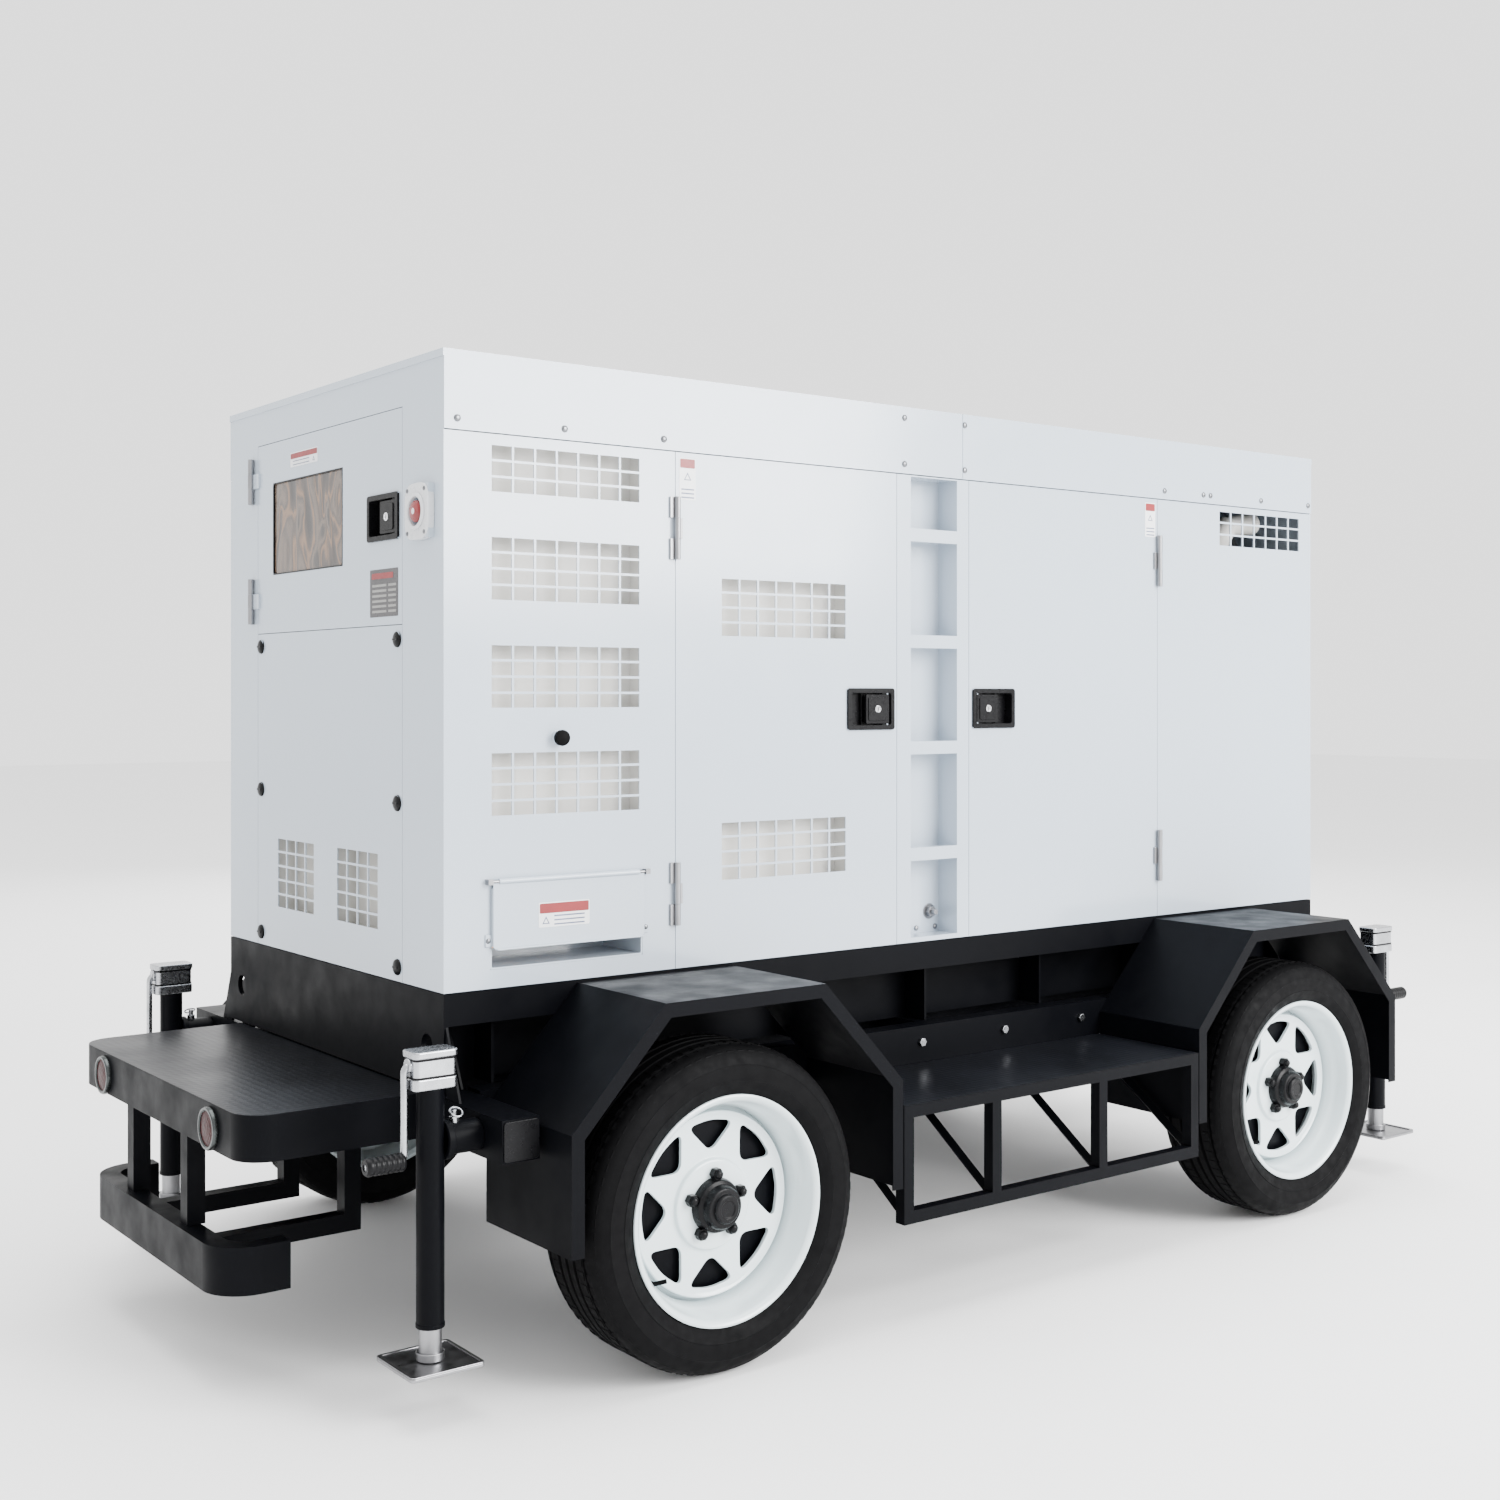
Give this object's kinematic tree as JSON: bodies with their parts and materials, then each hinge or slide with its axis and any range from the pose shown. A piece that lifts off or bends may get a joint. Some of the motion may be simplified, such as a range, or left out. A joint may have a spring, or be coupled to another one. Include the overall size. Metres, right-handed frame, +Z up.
{
  "type": "towable_generator",
  "caption": "Towable silent diesel generator: white sheet-steel canopy with doors, grilles and ladder on a black four-wheel trailer with corner jacks, side steps and rear platform",
  "frame": {"origin": "On the ground, at the middle of the overall box, under the centre of the trailer.", "axes": "+X towards the towing end, +Y to the trailer's left, +Z up."},
  "size_m": [3.112, 1.589, 1.843],
  "materials": {
    "white_paint": "gloss powder coat",
    "black_paint": "satin powder coat",
    "tyre_rubber": "moulded rubber",
    "zinc_plate": "bright zinc plate",
    "black_plastic": "fine grain",
    "red_plastic": "moulded gloss",
    "window_glass": "clear tinted sheet",
    "engine_iron": "painted casting",
    "cooler_aluminium": "finned core",
    "fan_plastic": "moulded nylon"
  },
  "bodies": {
    "trailer": {"chassis_frame": "black_paint", "front_axle": "black_paint", "rear_axle": "black_paint", "rear_platform": "black_paint", "rear_bumper": "black_paint", "tail_lamps": "red_plastic", "fenders": "black_paint", "side_steps": "black_paint", "base_tank": "black_paint", "roof": "white_paint", "side_panels": "white_paint", "rear_end_frame": "white_paint", "front_panel": "white_paint", "service_panel": "white_paint", "door_hinges": "black_paint", "engine_block": "engine_iron", "alternator": "engine_iron", "radiator": "cooler_aluminium", "muffler": "black_paint", "control_box": "black_plastic"},
    "steering_yoke": {"steering_yoke": "black_paint"},
    "drawbar": {"drawbar": "black_paint"},
    "knuckle_right": {"knuckle_right": "black_paint"},
    "knuckle_left": {"knuckle_left": "black_paint"},
    "tie_rod": {"tie_rod": "black_paint"},
    "wheel_rear_right": {"tyre_rear_right": "tyre_rubber", "wheel_rear_right": "white_paint"},
    "wheel_rear_left": {"tyre_rear_left": "tyre_rubber", "wheel_rear_left": "white_paint"},
    "wheel_front_right": {"tyre_front_right": "tyre_rubber", "wheel_front_right": "white_paint"},
    "wheel_front_left": {"tyre_front_left": "tyre_rubber", "wheel_front_left": "white_paint"},
    "door_rear_right": {"door_rear_right": "white_paint"},
    "latch_paddle_rear_right": {"latch_paddle_rear_right": "black_plastic"},
    "door_rear_left": {"door_rear_left": "white_paint"},
    "latch_paddle_rear_left": {"latch_paddle_rear_left": "black_plastic"},
    "door_front_right": {"door_front_right": "white_paint"},
    "latch_paddle_front_right": {"latch_paddle_front_right": "black_plastic"},
    "door_front_left": {"door_front_left": "white_paint"},
    "latch_paddle_front_left": {"latch_paddle_front_left": "black_plastic"},
    "control_door": {"control_door": "white_paint", "control_window": "window_glass"},
    "latch_paddle_control": {"latch_paddle_control": "black_plastic"},
    "outlet_flap": {"outlet_flap": "white_paint"},
    "stop_button": {"stop_button": "red_plastic"},
    "crankshaft": {"crankshaft_rotor": "engine_iron"},
    "cooling_fan": {"cooling_fan": "fan_plastic"},
    "jack_body_rear_right": {"jack_body_rear_right": "black_paint"},
    "jack_leg_rear_right": {"jack_leg_rear_right": "zinc_plate"},
    "jack_crank_rear_right": {"jack_crank_rear_right": "zinc_plate"},
    "jack_body_rear_left": {"jack_body_rear_left": "black_paint"},
    "jack_leg_rear_left": {"jack_leg_rear_left": "zinc_plate"},
    "jack_crank_rear_left": {"jack_crank_rear_left": "zinc_plate"},
    "jack_body_front_right": {"jack_body_front_right": "black_paint"},
    "jack_leg_front_right": {"jack_leg_front_right": "zinc_plate"},
    "jack_crank_front_right": {"jack_crank_front_right": "zinc_plate"},
    "jack_body_front_left": {"jack_body_front_left": "black_paint"},
    "jack_leg_front_left": {"jack_leg_front_left": "zinc_plate"},
    "jack_crank_front_left": {"jack_crank_front_left": "zinc_plate"}
  },
  "joints": [
    {"name": "yoke_steer", "type": "hinge", "parent": "trailer", "child": "steering_yoke", "pos_m": [0.892, 0, 0.23], "axis": [0, 0, 1], "range_deg": [-18, 18]},
    {"name": "drawbar_fold", "type": "hinge", "parent": "steering_yoke", "child": "drawbar", "pos_m": [1.5, 0, 0.23], "axis": [0, 1, 0], "range_deg": [0, 96]},
    {"name": "knuckle_right_steer", "type": "hinge", "parent": "trailer", "child": "knuckle_right", "pos_m": [0.892, -0.62, 0.297], "axis": [0, 0, 1], "range_deg": [-18, 18]},
    {"name": "knuckle_left_steer", "type": "hinge", "parent": "trailer", "child": "knuckle_left", "pos_m": [0.892, 0.62, 0.297], "axis": [0, 0, 1], "range_deg": [-18, 18]},
    {"name": "tie_rod_pivot", "type": "hinge", "parent": "knuckle_left", "child": "tie_rod", "pos_m": [1.012, 0.62, 0.28], "axis": [0, 0, 1], "range_deg": [-18, 18]},
    {"name": "wheel_rear_right_spin", "type": "hinge", "parent": "trailer", "child": "wheel_rear_right", "pos_m": [-0.775, -0.697, 0.297], "axis": [0, 1, 0], "continuous": true},
    {"name": "wheel_rear_left_spin", "type": "hinge", "parent": "trailer", "child": "wheel_rear_left", "pos_m": [-0.775, 0.697, 0.297], "axis": [0, 1, 0], "continuous": true},
    {"name": "wheel_front_right_spin", "type": "hinge", "parent": "knuckle_right", "child": "wheel_front_right", "pos_m": [0.892, -0.697, 0.297], "axis": [0, 1, 0], "continuous": true},
    {"name": "wheel_front_left_spin", "type": "hinge", "parent": "knuckle_left", "child": "wheel_front_left", "pos_m": [0.892, 0.697, 0.297], "axis": [0, 1, 0], "continuous": true},
    {"name": "door_rear_right_swing", "type": "hinge", "parent": "trailer", "child": "door_rear_right", "pos_m": [-0.69825, -0.5075, 1.195], "axis": [0, 0, -1], "range_deg": [0, 120]},
    {"name": "latch_paddle_rear_right_lift", "type": "hinge", "parent": "door_rear_right", "child": "latch_paddle_rear_right", "pos_m": [-0.148, -0.499, 1.195], "axis": [0, 0, 1], "range_deg": [0, 40], "stiffness_Nm_per_rad": 0.6},
    {"name": "door_rear_left_swing", "type": "hinge", "parent": "trailer", "child": "door_rear_left", "pos_m": [-0.69825, 0.5075, 1.195], "axis": [0, 0, 1], "range_deg": [0, 165]},
    {"name": "latch_paddle_rear_left_lift", "type": "hinge", "parent": "door_rear_left", "child": "latch_paddle_rear_left", "pos_m": [-0.148, 0.499, 1.195], "axis": [0, 0, -1], "range_deg": [0, 40], "stiffness_Nm_per_rad": 0.6},
    {"name": "door_front_right_swing", "type": "hinge", "parent": "trailer", "child": "door_front_right", "pos_m": [0.72175, -0.5075, 1.195], "axis": [0, 0, 1], "range_deg": [0, 165]},
    {"name": "latch_paddle_front_right_lift", "type": "hinge", "parent": "door_front_right", "child": "latch_paddle_front_right", "pos_m": [0.1185, -0.499, 1.195], "axis": [0, 0, -1], "range_deg": [0, 40], "stiffness_Nm_per_rad": 0.6},
    {"name": "door_front_left_swing", "type": "hinge", "parent": "trailer", "child": "door_front_left", "pos_m": [0.72175, 0.5075, 1.195], "axis": [0, 0, -1], "range_deg": [0, 165]},
    {"name": "latch_paddle_front_left_lift", "type": "hinge", "parent": "door_front_left", "child": "latch_paddle_front_left", "pos_m": [0.1185, 0.499, 1.195], "axis": [0, 0, 1], "range_deg": [0, 40], "stiffness_Nm_per_rad": 0.6},
    {"name": "control_door_swing", "type": "hinge", "parent": "trailer", "child": "control_door", "pos_m": [-1.2085, 0.367, 1.5565], "axis": [0, 0, -1], "range_deg": [0, 110]},
    {"name": "latch_paddle_control_lift", "type": "hinge", "parent": "control_door", "child": "latch_paddle_control", "pos_m": [-1.2, -0.3095, 1.559], "axis": [0, 0, 1], "range_deg": [0, 40], "stiffness_Nm_per_rad": 0.6},
    {"name": "outlet_flap_swing", "type": "hinge", "parent": "trailer", "child": "outlet_flap", "pos_m": [-0.941, -0.508, 0.886], "axis": [-1, 0, 0], "range_deg": [0, 85]},
    {"name": "stop_button_press", "type": "slide", "parent": "trailer", "child": "stop_button", "axis": [1, 0, 0], "range_m": [0, 0.006], "stiffness_N_per_m": 400},
    {"name": "crankshaft_spin", "type": "hinge", "parent": "trailer", "child": "crankshaft", "pos_m": [0.3, 0, 0.98], "axis": [1, 0, 0], "continuous": true},
    {"name": "cooling_fan_spin", "type": "hinge", "parent": "trailer", "child": "cooling_fan", "pos_m": [0.965, 0, 1.235], "axis": [1, 0, 0], "continuous": true},
    {"name": "jack_rear_right_swivel", "type": "hinge", "parent": "trailer", "child": "jack_body_rear_right", "pos_m": [-1.291, -0.623, 0.467], "axis": [-1, 0, 0], "range_deg": [0, 90]},
    {"name": "jack_rear_right_crank", "type": "hinge", "parent": "jack_body_rear_right", "child": "jack_crank_rear_right", "pos_m": [-1.34, -0.623, 0.6], "axis": [1, 0, 0], "range_deg": [-10800, 1440]},
    {"name": "jack_rear_right_leg", "type": "slide", "parent": "jack_body_rear_right", "child": "jack_leg_rear_right", "axis": [0, 0, 1], "range_m": [-0.301, 0.041]},
    {"name": "jack_rear_left_swivel", "type": "hinge", "parent": "trailer", "child": "jack_body_rear_left", "pos_m": [-1.291, 0.623, 0.467], "axis": [1, 0, 0], "range_deg": [0, 90]},
    {"name": "jack_rear_left_crank", "type": "hinge", "parent": "jack_body_rear_left", "child": "jack_crank_rear_left", "pos_m": [-1.34, 0.623, 0.6], "axis": [1, 0, 0], "range_deg": [-10800, 1440]},
    {"name": "jack_rear_left_leg", "type": "slide", "parent": "jack_body_rear_left", "child": "jack_leg_rear_left", "axis": [0, 0, 1], "range_m": [-0.301, 0.041]},
    {"name": "jack_front_right_swivel", "type": "hinge", "parent": "trailer", "child": "jack_body_front_right", "pos_m": [1.435, -0.623, 0.467], "axis": [-1, 0, 0], "range_deg": [0, 90]},
    {"name": "jack_front_right_crank", "type": "hinge", "parent": "jack_body_front_right", "child": "jack_crank_front_right", "pos_m": [1.484, -0.623, 0.6], "axis": [1, 0, 0], "range_deg": [-10800, 1440]},
    {"name": "jack_front_right_leg", "type": "slide", "parent": "jack_body_front_right", "child": "jack_leg_front_right", "axis": [0, 0, 1], "range_m": [-0.301, 0.041]},
    {"name": "jack_front_left_swivel", "type": "hinge", "parent": "trailer", "child": "jack_body_front_left", "pos_m": [1.435, 0.623, 0.467], "axis": [1, 0, 0], "range_deg": [0, 90]},
    {"name": "jack_front_left_crank", "type": "hinge", "parent": "jack_body_front_left", "child": "jack_crank_front_left", "pos_m": [1.484, 0.623, 0.6], "axis": [1, 0, 0], "range_deg": [-10800, 1440]},
    {"name": "jack_front_left_leg", "type": "slide", "parent": "jack_body_front_left", "child": "jack_leg_front_left", "axis": [0, 0, 1], "range_m": [-0.301, 0.041]}
  ],
  "couplings": [
    {"joint": "knuckle_right_steer", "follows": "yoke_steer", "ratio": 1},
    {"joint": "knuckle_left_steer", "follows": "yoke_steer", "ratio": 1},
    {"joint": "tie_rod_pivot", "follows": "yoke_steer", "ratio": -1},
    {"joint": "cooling_fan_spin", "follows": "crankshaft_spin", "ratio": 1.2},
    {"joint": "jack_rear_right_leg", "follows": "jack_rear_right_crank", "m_per_rad": 0.0015915},
    {"joint": "jack_rear_left_leg", "follows": "jack_rear_left_crank", "m_per_rad": 0.0015915},
    {"joint": "jack_front_right_leg", "follows": "jack_front_right_crank", "m_per_rad": 0.0015915},
    {"joint": "jack_front_left_leg", "follows": "jack_front_left_crank", "m_per_rad": 0.0015915}
  ]
}
